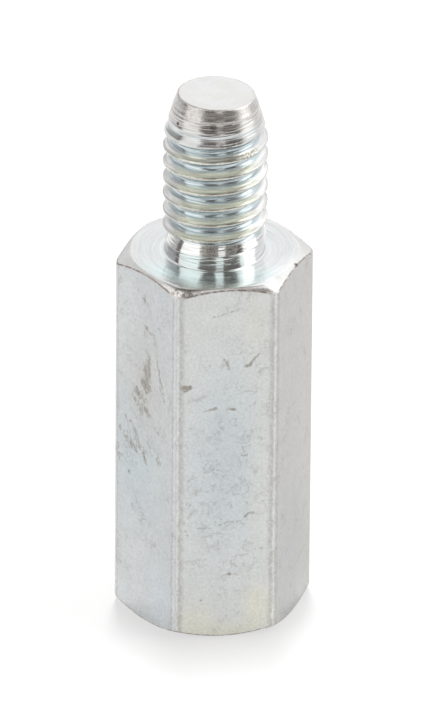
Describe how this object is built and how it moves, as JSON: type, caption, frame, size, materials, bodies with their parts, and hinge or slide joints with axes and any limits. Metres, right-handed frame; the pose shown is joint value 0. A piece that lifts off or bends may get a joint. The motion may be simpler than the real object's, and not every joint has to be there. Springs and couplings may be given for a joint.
{
  "type": "hexagon screw spacer",
  "caption": "Hexagonal male-to-female screw spacer: a threaded stud rises from a turned shoulder on a hexagon body, with a tapped blind hole in the base.",
  "frame": {"origin": "centre of the base face, on the spacer's axis", "axes": "+Z along the axis from the base to the stud's tip; two flats of the hexagon face +Y and -Y, and two corners point along +X and -X"},
  "size_m": [0.009, 0.008, 0.026],
  "materials": {
    "zinc_plated_steel": "clear zinc plate: dull on the drawn flats, bright on the turned stud and shoulder"
  },
  "bodies": {
    "root": {"hex_spacer": "zinc_plated_steel"}
  },
  "joints": []
}
